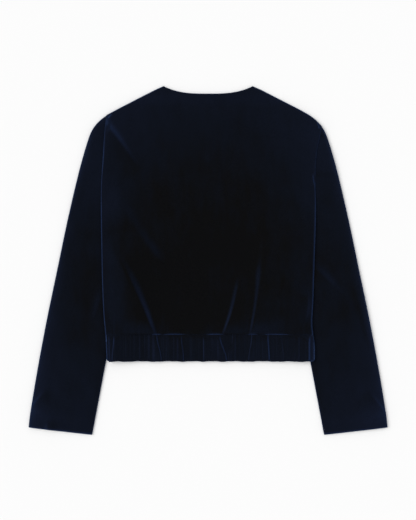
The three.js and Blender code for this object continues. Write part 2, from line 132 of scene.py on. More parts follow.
# The fronts lie under the same folds, and have small ones of their own, away from the sleeves
FRONT_SHARE = 0.6
FRONT_CREASES_SET_IN = 30
FRONT_CREASES = [
    Crease(-52, -52, -66, -142, 0.35, -1.6, 10, 0),
    Crease(-176, 214, -128, 120, 0.35, 1.8, 14, -4),
    Crease(-70, 150, -96, 40, 0.3, -2, 14, 3),
    Crease(150, -20, 118, -141, 0.35, -1.6, 12, -4),
    Crease(60, -70, 48, -142, 0.3, 1.6, 9, 0),
    Crease(170, 220, 132, 140, 0.35, -1.8, 14, 3),
]
SLEEVE_CREASES = {
    "left": [
        Crease(-200, -54, -222, -118, 1.1, -7, 26, 0, 1.0, 0.5),
        Crease(-300, -236, -345, -288, 1.3, -3.2, 34, 0, 0.8, 0.8, 0.7),
        Crease(-312, -302, -314, -338, 0.9, -2.4, 18, 0, 0.8, 0.8, 0.7),
        Crease(-246, 196, -284, 60, 0.6, 12, 34, -3),
    ],
    "right": [
        Crease(204, -14, 264, -70, 1.7, 6.5, 32, 0, 1.0, 0.3),
        Crease(287, -40, 314, -160, 0.8, -8, 30, 0),
        Crease(298, -240, 344, -296, 1.3, 3.2, 34, 0, 0.8, 0.8, 0.7),
        Crease(246, 190, 272, 90, 0.5, 12, 34, 2),
        Crease(217, 268, 229, 242, 1.2, 2.2, 14, 0),
    ],
}
UNDER_SLEEVE_CREASES = {
    "left": [Crease(-232, -40, -270, -100, 0.6, 4, 12, 0), Crease(-262, 150, -236, 40, 0.5, 6, 16, 0)],
    "right": [Crease(236, -60, 280, -110, 0.6, -4, 12, 0), Crease(258, 120, 248, 10, 0.5, 6, 16, 0)],
}

# Gathers of the band: where each crosses the band's seam and the hem
Gather = namedtuple("Gather", "seam hem high steep gentle")
BAND_GATHERS = [
    Gather(-192, -190, 0.6, 1.4, 8),
    Gather(-182, -185, 1.3, 1.3, 12),
    Gather(-150, -151, 0.3, 1.6, 9),
    Gather(-128, -126, 0.3, -1.6, 9),
    Gather(-101, -92, 1.9, -1.3, 16),
    Gather(-79, -80, 0.6, 1.6, 10),
    Gather(-53, -49, 1.7, -1.3, 15),
    Gather(-30, -31, 0.3, 1.6, 9),
    Gather(-8, -7, 0.7, 1.4, 10),
    Gather(11, 12, 0.4, -1.6, 8),
    Gather(21, 35, 1.8, -1.3, 14),
    Gather(49, 40, 0.7, 1.5, 10),
    Gather(86, 80, 1.4, 1.3, 13),
    Gather(115, 118, 1.8, -1.3, 15),
    Gather(141, 146, 0.7, -1.4, 9),
    Gather(152, 153, 0.5, 1.5, 8),
    Gather(171, 167, 0.4, 1.6, 9),
]
# Near its right side the band has a straight ridge, and falls away to the edge
BAND_SIDE = {"ridge": 195, "high": 1.9, "before": 8, "after": 1.7, "run": 12, "fall": 1.8}
# Looser runs of the band's seam: the middle of each, and half its length
SEAM_RUNS = [(-101, 8), (-66, 18), (13, 14), (86, 8), (132, 22)]
# There the cloth is eased, and elsewhere the band starts well below the back's edge
TIGHT_SEAM = {"ease": 0.06, "step": 1.0}
LOOSE_SEAM = {"ease": 1.4, "step": 0.1}
# From the seam the band climbs no faster than this share
SEAM_CLIMB = 0.2
# Fine gathers between the main ones: height, pitch, and how the pitch drifts
Ripple = namedtuple("Ripple", "high pitch drift every phase")
BAND_RIPPLES = [
    Ripple(0.30, 11.3, 0.35, 61, 0.2),
    Ripple(0.16, 6.1, 0.45, 37, 1.9),
    Ripple(0.09, 3.7, 0.6, 23, 4.1),
]
# The gathers are lower where the band is held: near its seam, and near the hem
BAND_HELD = {"at_seam": 0.75, "free": 0.3, "from": 0.7, "at_hem": 0.8}
# Broad uneven swells of every panel: lengths across and along, share of the height, and phase
Swell = namedtuple("Swell", "across along share phase")
SWELLS = [
    Swell(41, 93, 1.0, 0.4),
    Swell(67, -38, 0.8, 2.1),
    Swell(-23, 57, 0.5, 4.4),
    Swell(15, 21, 0.35, 1.3),
]

# Heights over which the sleeve comes up level with the back's edge at the armhole
FLUSH = {"left": (170, 262), "right": (160, 174)}
# Along that seam the back's edge thins and eases down, and the sleeve rises to meet it
FLUSH_SEAM = {"thin": 0.6, "ease": 0.4, "width": 4.8, "sleeve": 0.7, "rise": 1.2}
FLUSH_RISE = {"before": 70, "after": 30, "beside": (-1, 36), "fades": (20, 80)}
# Rolled side edge of the back. Near the top of its right side it turns in a little.
BACK_EDGE = {"ease": 2.6, "left": 2.6, "right": 4.4, "corner": (4.5, 9)}
HOOK = {"in": (140, 160), "out": (163, 172), "width": 9.6}


def smooth(at, low, high):
    """0 before low, 1 after high, and a soft S between."""
    share = np.clip((at - low) / (high - low), 0, 1)
    return share * share * (3 - 2 * share)


def mix(a, b, share):
    return a + (b - a) * share


def curve(rows):
    """A smooth curve through (place, value) rows, which holds its end values beyond them."""
    at, value = np.array(sorted(rows), float).T
    slope = np.empty_like(value)
    slope[1:-1] = (value[2:] - value[:-2]) / (at[2:] - at[:-2])
    slope[0] = (value[1] - value[0]) / (at[1] - at[0])
    slope[-1] = (value[-1] - value[-2]) / (at[-1] - at[-2])

    def read(place):
        x = np.clip(place, at[0], at[-1])
        k = np.clip(np.searchsorted(at, x), 1, len(at) - 1)
        run = at[k] - at[k - 1]
        s = (x - at[k - 1]) / run
        rise = s * (1 - s) * run * ((1 - s) * slope[k - 1] - s * slope[k])
        return mix(value[k - 1], value[k], s * s * (3 - 2 * s)) + rise

    return read


edge_out = {side: curve(rows) for side, rows in EDGE.items()}
fold_out = curve(INNER_FOLD)
outline_out = curve(OUTLINE)
shoulder_y = curve([(out, y) for y, out in OUTLINE])
SIGN = {"left": -1, "right": 1}
SHOULDER_OUT = {side: rows[-1][1] for side, rows in EDGE.items()}


def both_sides(x, reader):
    """A reading for each x that takes the side it lies on."""
    return np.where(x < 0, reader("left"), reader("right"))


def armhole_out(side, y):
    return edge_out[side](y) - WALL


def inner_fold_out(side, y):
    return mix(fold_out(y), armhole_out(side, y), smooth(y, *FOLD_LEAVES))


def flush_share(side, y):
    return smooth(y, *FLUSH[side])


def crease_height(creases, x, y):
    """Summed height of the creases at a place."""
    total = np.zeros(np.broadcast(x, y).shape)
    for c in creases:
        dx, dy = c.x2 - c.x1, c.y2 - c.y1
        length = math.hypot(dx, dy)
        along = ((x - c.x1) * dx + (y - c.y1) * dy) / length**2
        aside = ((x - c.x1) * dy - (y - c.y1) * dx) / length
        aside = aside - c.bow * 4 * along * (1 - along)
        if c.steep < 0:
            aside = -aside
        widen = mix(CREASE_ENDS["first_width"], c.end, np.clip(along, 0, 1))
        width = np.where(aside < 0, abs(c.steep), c.gentle) * widen
        rise = smooth(along, c.start - CREASE_ENDS["rise"], c.start)
        taper = rise * (1 - smooth(along, c.fade, CREASE_ENDS["last"]))
        total = total + c.high * taper * np.exp(-((aside / width) ** 2))
    return total


def ripple_height(ripples, x):
    total = 0
    for r in ripples:
        turn = x / r.pitch + r.drift * np.sin(2 * math.pi * x / r.every + r.phase)
        total = total + r.high * (1 + np.sin(2 * math.pi * turn + r.phase)) / 2
    return total


def gather_height(gathers, x, y):
    """Height of the band's gathers, which lean a little between its seam and the hem."""
    down = (BAND_SEAM_Y - y) / BAND_HEIGHT
    total = np.zeros(np.broadcast(x, y).shape)
    for g in gathers:
        aside = x - mix(g.seam, g.hem, smooth(down, 0, 1))
        if g.steep < 0:
            aside = -aside
        width = np.where(aside < 0, abs(g.steep), g.gentle)
        total = total + g.high * np.exp(-((aside / width) ** 2))
    return total


def front_lower(side, out, y):
    """Underside of a front: on the surface, and lifted where the sleeve lies under its side."""
    below = 1 - smooth(y, UNDERARM_Y - UNDERARM_RUN, UNDERARM_Y)
    inner = inner_fold_out(side, y)
    run = mix(FRONT_RUN, UNDERARM_FRONT_RUN, smooth(y, *FRONT_RUN_SHORTENS))
    return OVER_SLEEVE * below * smooth(out, inner - run, inner - REST_IN)


def front_rise(x, y):
    """What the creases of the fronts add to their height, which stays under the back's."""
    inside = both_sides(x, lambda side: inner_fold_out(side, y)) - np.abs(x)
    rise = FRONT_SHARE * crease_height(BACK_CREASES, x, y) + crease_height(FRONT_CREASES, x, y)
    return rise * smooth(inside, FRONT_RUN, FRONT_RUN + FRONT_CREASES_SET_IN)


def back_lower(x, y, wall):
    """Underside of the back, over a front of the given wall."""
    inner = both_sides(x, lambda side: inner_fold_out(side, y))
    on_front = 1 - smooth(y, UNDERARM_Y - UNDERARM_RUN, UNDERARM_Y + BACK_OVERRUN)
    at_edge = OVER_SLEEVE + (wall + PLY) * on_front
    climb = smooth(np.abs(x), inner - BACK_RUN, inner - REST_IN)
    return mix(wall + PLY, at_edge, climb)


def puff(x, y):
    up = np.maximum(y - BAND_SEAM_Y, 0)
    inside = both_sides(x, lambda side: edge_out[side](y)) - np.abs(x)
    rise = smooth(up, 0, PUFF["at"]) * (1 - smooth(up, PUFF["at"], PUFF["at"] + PUFF["fade"]))
    return PUFF["high"] * rise * smooth(inside, *PUFF["inside"])


def seam_gathers(x, y):
    """Lift and small gathers of the back, just above the band's seam."""
    up = np.maximum(y - BAND_SEAM_Y, 0)
    lift = SEAM_LIFT["high"] * (1 - smooth(up, SEAM_LIFT["from"], SEAM_LIFT["to"]))
    fade = smooth(up, 0, SEAM_GATHERS["rise"]) * np.exp(-up / SEAM_GATHERS["fade"])
    fine = ripple_height(BAND_RIPPLES, x * SEAM_GATHERS["stretch"] + SEAM_GATHERS["shift"])
    main = gather_height(BAND_GATHERS, x, BAND_SEAM_Y)
    return lift + SEAM_GATHERS["share"] * fade * (fine + SEAM_GATHERS["share"] * main)


def soft_waves(x, y, high):
    """Broad uneven swells, so that no panel lies quite flat."""
    waves = sum(s.share * np.sin(x / s.across + y / s.along + s.phase) for s in SWELLS)
    return high * (waves / sum(s.share for s in SWELLS) + 1) / 2


def new_piece(name, vertices, faces, node, material):
    """A smooth mesh in place of one CAD node."""
    mesh = bpy.data.meshes.new(name)
    mesh.from_pydata((vertices * MM).tolist(), [], faces.tolist())
    mesh.validate()
    mesh.polygons.foreach_set("use_smooth", [True] * len(mesh.polygons))
    mesh.materials.append(material)
    piece = bpy.data.objects.new(name, mesh)
    bpy.context.scene.collection.objects.link(piece)
    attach(piece, "root")
    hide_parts(node)
    return piece


def edge_loop(columns, rows):
    """Grid places round the edge, anticlockwise."""
    i = [*range(columns), *[columns] * rows, *range(columns, 0, -1), *[0] * rows]
    j = [*[0] * columns, *range(rows), *[rows] * columns, *range(rows, 0, -1)]
    return np.array(i), np.array(j)


def sheet_mesh(columns, rows, place, upper, lower, rim, flip=False):
    """A sheet of cloth over a grid: an upper and a lower skin, and a rim round its cut edge."""
    i, j = np.meshgrid(np.arange(columns + 1), np.arange(rows + 1), indexing="ij")
    x, y = place(i, j, 0)
    skins = [np.dstack([x, y, height(x, y)]) for height in (upper, lower)]
    around_i, around_j = edge_loop(columns, rows)
    steps = []
    for inset, z in rim(around_i, around_j):
        step_x, step_y = place(around_i, around_j, inset)
        steps.append(np.column_stack([step_x, step_y, np.broadcast_to(z, step_x.shape)]))
    skins[0][around_i, around_j] = steps[0]
    skins[1][around_i, around_j] = steps[-1]
    vertices = np.concatenate([skins[0].reshape(-1, 3), skins[1].reshape(-1, 3), *steps[1:-1]])

    count = (columns + 1) * (rows + 1)
    index = np.arange(count).reshape(columns + 1, rows + 1)
    a, b, c, d = index[:-1, :-1], index[1:, :-1], index[1:, 1:], index[:-1, 1:]
    faces = [np.stack([a, b, c, d], -1).reshape(-1, 4)]
    faces.append(np.stack([a, d, c, b], -1).reshape(-1, 4) + count)
    around = index[around_i, around_j]
    length = len(around)
    middle = [2 * count + k * length + np.arange(length) for k in range(len(steps) - 2)]
    loops = [around, *middle, around + count]
    for here, there in zip(loops[:-1], loops[1:]):
        faces.append(np.column_stack([here, there, np.roll(there, -1), np.roll(here, -1)]))
    faces = np.concatenate(faces)
    return vertices, faces[:, ::-1] if flip else faces


def seam_looseness(x):
    """0 where the band's seam is tight, 1 in its looser runs."""
    loose = 0.0
    for middle, half in SEAM_RUNS:
        loose = loose + np.exp(-(((x - middle) / half) ** 4))
    return np.clip(loose, 0, 1)


def seam_ease(x):
    """How far the cloth is eased into the band's seam."""
    return mix(TIGHT_SEAM["ease"], LOOSE_SEAM["ease"], seam_looseness(x))


# Turned edge: a flat strip inside it, the most of its height that is eased, and its end's ease
RIM = {"support": 0.45, "share": 0.8, "end": 0.4, "angles": (0, 15, 30, 45, 60, 75, 90)}


def turned_rim(high, low, end, wall, most, width, hollow=0):
    """Steps round a turned edge: eased over the outside, down to its end, and up the inside.

    Where hollow is 1 the ease is steep at its inner end and flat at the edge.
    """
    radius = np.minimum(most, RIM["share"] * (high - end))
    width = width * radius / most
    steps = [(width + RIM["support"], high)]
    for angle in np.radians(RIM["angles"]):
        inset = 1 - math.sin(angle)
        drop = mix(1 - math.cos(angle), math.sqrt(1 - inset**2), hollow)
        steps.append((width * inset, high - radius * drop))
    ease = np.minimum(RIM["end"], (steps[-1][1] - end) / 2)
    outer, inner = 0 * ease, wall + 0 * ease
    steps += [(outer, end + ease), (ease, end), (wall - ease, end), (inner, end + ease / 2)]
    steps.append((inner, np.maximum(low, end + ease)))
    return steps


# Back panel: columns run from the band's seam up to the neck and shoulders
BACK_COLUMNS = {"neck": 36, "shoulder": 46}
BACK_NEAR = (16, 15, 14, 13, 12, 11.2, 10.6, 0)  # how far inside the side the last columns stay
BACK_ROWS = 184
TOP_ROW = 4.2
SLANT = 1.12  # inset in Y for each millimetre in from the sloping shoulder


def back_half(side):
    """Distance out at the top, and how far inside it the column stays."""
    neck = np.arange(1, BACK_COLUMNS["neck"] + 1) / BACK_COLUMNS["neck"] * NECK_HALF
    shares = np.arange(1, BACK_COLUMNS["shoulder"]) / BACK_COLUMNS["shoulder"]
    reach = SHOULDER_OUT[side]
    shoulder = mix(NECK_HALF, reach - BACK_NEAR[0], shares)
    out = np.concatenate([neck, shoulder, [reach] * len(BACK_NEAR)])
    inside = np.concatenate([0 * neck, 0 * shoulder, BACK_NEAR])
    return out, inside


def back_top_y(out):
    neck = NECK_POINT_Y - BACK_NECK_DROP * (1 - np.minimum(out / NECK_HALF, 1) ** BACK_NECK_POWER)
    return np.where(out < NECK_HALF, neck, shoulder_y(out))


def back_lower_skin(x, y):
    creases = crease_height(BACK_CREASES, x, y)
    inside = both_sides(x, lambda side: edge_out[side](y)) - np.abs(x)
    swell = soft_waves(x, y, BACK_SWELL["high"]) * smooth(inside, *BACK_SWELL["inside"])
    swell = swell * smooth(y, BAND_SEAM_Y, BAND_SEAM_Y + BACK_SWELL["above_band"])
    swell = swell * (1 - smooth(y, *BACK_SWELL["ends"]))
    return back_lower(x, y, WALL) + creases + puff(x, y) + seam_gathers(x, y) + swell


def back_panel_mesh():
    left_out, left_inside = back_half("left")
    right_out, right_inside = back_half("right")
    top_out = np.concatenate([left_out[::-1], [0], right_out])
    inside = np.concatenate([left_inside[::-1], [0], right_inside])
    sign = np.concatenate([-np.ones(len(left_out)), [1], np.ones(len(right_out))])
    last = len(top_out) - 1
    reach = top_out / np.where(sign < 0, SHOULDER_OUT["left"], SHOULDER_OUT["right"]) * sign
    bottom = BAND_SEAM_Y + CLOSED_SEAM / 2
    top = {side: float(shoulder_y(out)) for side, out in SHOULDER_OUT.items()}
    shares = np.append(np.linspace(0, 1 - TOP_ROW / (top["left"] - bottom), BACK_ROWS), 1)
    rows = len(shares) - 1

    def place(i, j, inset):
        beside = (i == 0) | (i == last)
        inset_y = np.where(j == rows, -inset * SLANT, np.where((j == 0) & ~beside, inset, 0))
        y = mix(bottom, back_top_y(top_out[i] - inside[i]), shares[j]) + inset_y
        edge = both_sides(sign[i], lambda side: edge_out[side](mix(bottom, top[side], shares[j])))
        return reach[i] * edge - sign[i] * (inside[i] + np.where(beside, inset, 0)), y

    def rim(i, j):
        x, y = place(i, j, WALL)
        low = back_lower_skin(x, y)
        beside = (i == 0) | (i == last)
        on_shoulder = (j == rows) & (top_out[i] > NECK_HALF)
        from_corner = both_sides(x, lambda side: SHOULDER_OUT[side]) - np.abs(x)
        level = both_sides(x, lambda side: flush_share(side, y))
        on_sleeve = np.minimum(OVER_SLEEVE, low - LIP) + FLUSH_SEAM["thin"] * level * beside
        shoulder_end = mix(0, on_sleeve, 1 - smooth(from_corner, *BACK_EDGE["corner"]))
        end = np.where(on_shoulder & ~beside, shoulder_end, low - LIP)
        end = np.where(beside & (j > 0), on_sleeve, end)
        ease = np.where((j == 0) & ~beside, seam_ease(x), BACK_EDGE["ease"])
        ease = np.where(beside, mix(BACK_EDGE["ease"], FLUSH_SEAM["ease"], level), ease)
        width = mix(both_sides(x, BACK_EDGE.get), FLUSH_SEAM["width"], level)
        hooked = smooth(y, *HOOK["in"]) * (1 - smooth(y, *HOOK["out"])) * (x > 0)
        width = mix(width, HOOK["width"], hooked)
        return turned_rim(low + WALL, low, end, WALL, ease, np.where(beside, width, ease), hooked)

    def upper(x, y):
        return back_lower_skin(x, y) + WALL

    return sheet_mesh(last, rows, place, upper, back_lower_skin, rim)


# Band over the back: gathered on its elastic, with a round corner at each side of the hem
BAND_COLUMNS = 380
BAND_ROWS = 20
CORNER = 5
HEM_SCALLOP = {"high": 0.5, "long": 7.3, "drift": 1.2, "every": 31, "fade": 14}
FINE_SCALLOP = {"long": 3.1, "share": 0.6, "phase": 2}
BAND_EASE = 3.2
BAND_RIM = {"hem": 1.0, "side": 2.2}


def band_edge_out(side, y):
    low = np.clip(HEM_Y + CORNER - y, 0, CORNER)
    return edge_out[side](y) - CORNER + np.sqrt(CORNER**2 - low**2)


def band_gathers(x, y):
    down = (BAND_SEAM_Y - y) / BAND_HEIGHT
    held = mix(BAND_HELD["at_seam"], 1, smooth(down, 0, BAND_HELD["free"]))
    held = held * mix(1, BAND_HELD["at_hem"], smooth(down, BAND_HELD["from"], 1))
    return (gather_height(BAND_GATHERS, x, y) + ripple_height(BAND_RIPPLES, x)) * held


def hem_scallop(x):
    """Small uneven waves of the hem in the plan."""
    main = np.sin(x / HEM_SCALLOP["long"] + HEM_SCALLOP["drift"] * np.sin(x / HEM_SCALLOP["every"]))
    fine = FINE_SCALLOP["share"] * np.sin(x / FINE_SCALLOP["long"] + FINE_SCALLOP["phase"])
    return HEM_SCALLOP["high"] * (main + fine)


def band_back_mesh():
    top = BAND_SEAM_Y - CLOSED_SEAM / 2
    inner_rows = np.linspace(BAND_EASE, BAND_HEIGHT - BAND_EASE, BAND_ROWS)
    shares = np.concatenate([[0], inner_rows / BAND_HEIGHT, [1]])
    rows = len(shares) - 1

    def place(i, j, inset):
        beside = (i == 0) | (i == BAND_COLUMNS)
        straight = mix(HEM_Y, top, shares[j])
        inset_y = np.where(beside, 0, np.where(j == 0, inset, np.where(j == rows, -inset, 0)))
        left, right = -band_edge_out("left", straight), band_edge_out("right", straight)
        near = np.where(i == 1, BAND_EASE, np.where(i == BAND_COLUMNS - 1, -BAND_EASE, 0))
        share = np.clip((i - 1) / (BAND_COLUMNS - 2), 0, 1)
        inset_x = np.where(i == 0, inset, np.where(i == BAND_COLUMNS, -inset, 0))
        x = mix(left, right, share) + near + inset_x
        at_hem = 1 - smooth(straight, HEM_Y, HEM_Y + HEM_SCALLOP["fade"])
        return x, straight + inset_y + hem_scallop(x) * at_hem

    def base(x, y):
        return back_lower(x, y, BAND_WALL)

    def lower(x, y):
        return base(x, y) + band_gathers(x, y) / 2

    def upper(x, y):
        beyond = x - BAND_SIDE["ridge"]
        width = np.where(beyond < 0, BAND_SIDE["before"], BAND_SIDE["after"])
        ridge = BAND_SIDE["high"] * np.exp(-((beyond / width) ** 2))
        fall = BAND_SIDE["fall"] * np.clip(beyond / BAND_SIDE["run"], 0, 1)
        top_of_back = back_lower_skin(x, BAND_SEAM_Y) + WALL
        step = mix(TIGHT_SEAM["step"], LOOSE_SEAM["step"], seam_looseness(x))
        most = top_of_back - step + SEAM_CLIMB * (BAND_SEAM_Y - y)
        return np.minimum(base(x, y) + BAND_WALL + band_gathers(x, y) + ridge - fall, most)

    def rim(i, j):
        x, y = place(i, j, BAND_WALL)
        low = lower(x, y)
        turned = ((i == 0) | (i == BAND_COLUMNS)) & (j > 0) & (j < rows)
        end = np.where(turned, np.minimum(OVER_SLEEVE, low - LIP), low - LIP)
        at_seam = (j == rows) & (i > 0) & (i < BAND_COLUMNS)
        ease = np.where(at_seam, seam_ease(x), np.where(j == 0, BAND_RIM["hem"], BAND_RIM["side"]))
        return turned_rim(upper(x, y), low, end, BAND_WALL, ease, ease)

    return sheet_mesh(BAND_COLUMNS, rows, place, upper, lower, rim)


# Fronts, face down under the back, and their bands
FRONT_GRID = {"neck": 26, "shoulder": 24, "climb": 10, "rows": 150}
FRONT_BAND_GRID = {"plain": 150, "climb": 14, "rows": 14}
FRONT_TUCK = 3.2
FRONT_NECK_AT_BAND = 108
CLIMB = {"before": 1, "least": 8}  # grid that is kept for a front's climb onto the sleeve
CUT_EASE = 0.5
BAND_FRONT_SHIFT = 11  # so that its ripples differ from the back's


def climb_start(side, wall, y):
    edge = edge_out[side](y) - wall - SEAM
    return np.minimum(inner_fold_out(side, y) - FRONT_RUN - CLIMB["before"], edge - CLIMB["least"])


def cut_rim(place, lower, wall):
    """Rim of a plain cut edge, eased on both sides."""

    def rim(i, j):
        low = lower(*place(i, j, 0))
        high = low + wall
        return [(CUT_EASE, high), (0, high - CUT_EASE), (0, low + CUT_EASE), (CUT_EASE, low)]

    return rim


def front_mesh(side):
    bottom = BAND_SEAM_Y + SEAM / 2
    edge_top = float(shoulder_y(armhole_out(side, NECK_POINT_Y) - SEAM)) - FRONT_TUCK
    neck, shoulder, climb = FRONT_GRID["neck"], FRONT_GRID["shoulder"], FRONT_GRID["climb"]
    angles = np.radians(np.linspace(0, 90, neck + 1))
    at_top = np.maximum(NECK_HALF * np.sin(angles), FRONT_GAP / 2)
    at_band = np.maximum(np.linspace(0, FRONT_NECK_AT_BAND, neck + 1), FRONT_GAP / 2)
    columns = neck + shoulder + climb
    rows = FRONT_GRID["rows"]

    def plan_out(i, y, share):
        plain = mix(at_band, at_top, share[..., None])
        start = climb_start(side, WALL, y)
        edge = edge_out[side](y) - WALL - SEAM
        at_neck = np.take_along_axis(plain, np.minimum(i, neck)[..., None], -1)[..., 0]
        beyond = mix(plain[..., -1], start, np.clip((i - neck) / shoulder, 0, 1))
        climbing = mix(start, edge, np.clip((i - neck - shoulder) / climb, 0, 1))
        return np.where(i <= neck, at_neck, np.where(i <= neck + shoulder, beyond, climbing))

    index = np.arange(columns + 1)
    out_at_top = plan_out(index, np.full(columns + 1, edge_top), np.ones(columns + 1))
    neck_y = NECK_POINT_Y - FRONT_TUCK - FRONT_NECK_DROP * np.cos(angles[np.minimum(index, neck)])
    top_y = np.where(index <= neck, neck_y, shoulder_y(out_at_top) - FRONT_TUCK)

    def place(i, j, inset):
        share = j / rows
        y = mix(bottom, top_y[i], share)
        out = plan_out(i, y, share)
        out = out + np.where(i == 0, inset, np.where(i == columns, -inset, 0))
        return SIGN[side] * out, y + np.where(j == 0, inset, np.where(j == rows, -inset, 0))

    def lower(x, y):
        return front_lower(side, np.abs(x), y) + front_rise(x, y)

    def upper(x, y):
        return lower(x, y) + WALL

    rim = cut_rim(place, lower, WALL)
    return sheet_mesh(columns, rows, place, upper, lower, rim, flip=side == "left")


def band_front_mesh(side):
    top = BAND_SEAM_Y - SEAM / 2
    plain, climb, rows = FRONT_BAND_GRID["plain"], FRONT_BAND_GRID["climb"], FRONT_BAND_GRID["rows"]
    columns = plain + climb

    def place(i, j, inset):
        y = mix(HEM_Y, top, j / rows)
        start = climb_start(side, BAND_WALL, y)
        edge = edge_out[side](y) - BAND_WALL - SEAM
        flat = mix(FRONT_GAP / 2, start, np.clip(i / plain, 0, 1))
        out = np.where(i <= plain, flat, mix(start, edge, np.clip((i - plain) / climb, 0, 1)))
        out = out + np.where(i == 0, inset, np.where(i == columns, -inset, 0))
        return SIGN[side] * out, y + np.where(j == 0, inset, np.where(j == rows, -inset, 0))

    def lower(x, y):
        return front_lower(side, np.abs(x), y) + ripple_height(BAND_RIPPLES, BAND_FRONT_SHIFT - x)

    def upper(x, y):
        return lower(x, y) + FRONT_BAND_WALL

    rim = cut_rim(place, lower, FRONT_BAND_WALL)
    return sheet_mesh(columns, rows, place, upper, lower, rim, flip=side == "left")


# Sleeves: rings of cloth from the armhole line round to the cuff
SLEEVE_RINGS = {"count": 300, "gather": 1.3, "even": 0.06, "power": 2.3, "free": 0.28}
SLEEVE_PULL = {"leave": 30, "arrive": 12}
STRAIGHT_FROM = 0.75  # share of the sleeve's length after which its rings run straight across
RING_POINTS = {"across": 60, "fold": 7}
PATH_PIECES = 80
OUTLINE_PIECES = 1600
OUTLINE_BLEND = 12  # the first ring's start joins the outline within this height
# Steps to both sides that give the direction of the outline and of the inner fold
NEAR_SHARE = 0.004
NEAR_HEIGHT = 2
# A sleeve grows fuller as it comes out from under the body, and sinks towards its folds
SLEEVE_SHOWS = {"below_hem": 50, "from_cover": (8, 90), "swell": 0.7}
EDGE_FALL = {"deep": 1.5, "reach": 7, "tip": (225, 262), "less": 0.7, "above_hem": 40}
HEM_ROUND = 0.45


def unit(vector):
    return vector / np.linalg.norm(vector)


def sleeve_paths(side):
    """Where each ring lies in the plan, as points from the outer fold to the inner one."""
    start_out = float(armhole_out(side, NECK_POINT_Y))
    start_y = float(shoulder_y(SHOULDER_OUT[side] - WALL))
    cuff_y, outer_end = INNER_FOLD[0][0], OUTLINE[-1][0]
    heights = np.linspace(start_y, outer_end, OUTLINE_PIECES)
    outs = outline_out(heights)
    outs = outs + (start_out - outs[0]) * (1 - smooth(start_y - heights, 0, OUTLINE_BLEND))
    outer = np.column_stack([outs, heights])
    reach = np.append(0, np.cumsum(np.linalg.norm(np.diff(outer, axis=0), axis=1)))
    down = np.array([0.0, -1.0])

    def outer_at(share):
        return np.array([np.interp(share * reach[-1], reach, outer[:, k]) for k in (0, 1)])

    def inner_at(y):
        return np.array([float(inner_fold_out(side, y)), y])

    def inward(tangent):
        return unit(np.array([tangent[1], -tangent[0]]))

    def ends(share):
        even, power = SLEEVE_RINGS["even"], SLEEVE_RINGS["power"]
        y = mix(UNDERARM_Y, cuff_y, even * share + (1 - even) * share**power)
        start, end = outer_at(share), inner_at(y)
        chord = unit(end - start)
        free = min(share / SLEEVE_RINGS["free"], 1)
        straight = float(smooth(share, STRAIGHT_FROM, 1))
        outer_tangent = outer_at(min(share + NEAR_SHARE, 1)) - outer_at(max(share - NEAR_SHARE, 0))
        below, above = max(y - NEAR_HEIGHT, cuff_y), min(y + NEAR_HEIGHT, UNDERARM_Y)
        inner_tangent = inner_at(below) - inner_at(above)
        leave = mix(mix(down, inward(outer_tangent), free), chord, straight)
        arrive = mix(mix(down, inward(inner_tangent), free), chord, straight)
        return start, end, unit(leave), unit(arrive), free

    def bezier(start, end, leave, arrive, s):
        most = np.linalg.norm(end - start) / 3
        first = start + leave * min(SLEEVE_PULL["leave"], most)
        second = end - arrive * min(SLEEVE_PULL["arrive"], most)
        s = s[:, None]
        t = 1 - s
        return t**3 * start + 3 * t * t * s * first + 3 * t * s * s * second + s**3 * end

    s = np.linspace(0, 1, PATH_PIECES + 1)
    first_start, first_end, first_leave, first_arrive, _ = ends(0)
    armhole_y = mix(first_start[1], first_end[1], s)
    armhole = np.column_stack([armhole_out(side, armhole_y), armhole_y])
    bend = armhole - bezier(first_start, first_end, first_leave, first_arrive, s)
    paths = []
    for k in range(SLEEVE_RINGS["count"] + 1):
        start, end, leave, arrive, free = ends((k / SLEEVE_RINGS["count"]) ** SLEEVE_RINGS["gather"])
        paths.append(bezier(start, end, leave, arrive, s) + bend * (1 - free))
    return paths


def sleeve_upper(side, out, y):
    """Upper face of a sleeve: pressed under the body, fuller clear of it."""
    covered = smooth(y, HEM_Y - SLEEVE_SHOWS["below_hem"], HEM_Y)
    edge = edge_out[side](y)
    from_cover = out - mix(inner_fold_out(side, y), edge, covered)
    clear = smooth(from_cover, *SLEEVE_SHOWS["from_cover"])
    swell = soft_waves(SIGN[side] * out, y, SLEEVE_SHOWS["swell"])
    low, high = FLUSH[side]
    beside = smooth(y, low - FLUSH_RISE["before"], high + FLUSH_RISE["after"])
    beside = beside * smooth(out - edge, *FLUSH_RISE["beside"])
    rise = FLUSH_SEAM["sleeve"] * flush_share(side, y) + FLUSH_SEAM["rise"] * beside
    rise = rise * (1 - smooth(out - edge, *FLUSH_RISE["fades"]))
    creases = crease_height(SLEEVE_CREASES[side], SIGN[side] * out, y)
    return SLEEVE_STACK + (SLEEVE_LOFT + swell) * clear + rise + creases


def edge_fall(distance):
    """How far a sleeve's upper wall sinks towards its folded edge."""
    return EDGE_FALL["deep"] * np.exp(-distance / EDGE_FALL["reach"])


def sleeve_sink(y, from_outer, from_inner):
    """Fall towards both folds: less at the shoulder, and at the inner fold only where it shows."""
    at_tip = 1 - EDGE_FALL["less"] * smooth(y, *EDGE_FALL["tip"])
    inner_shows = 1 - smooth(y, HEM_Y, HEM_Y + EDGE_FALL["above_hem"])
    return edge_fall(from_outer) * at_tip + edge_fall(from_inner) * inner_shows


def sleeve_under(side, out, y):
    return crease_height(UNDER_SLEEVE_CREASES[side], SIGN[side] * out, y)


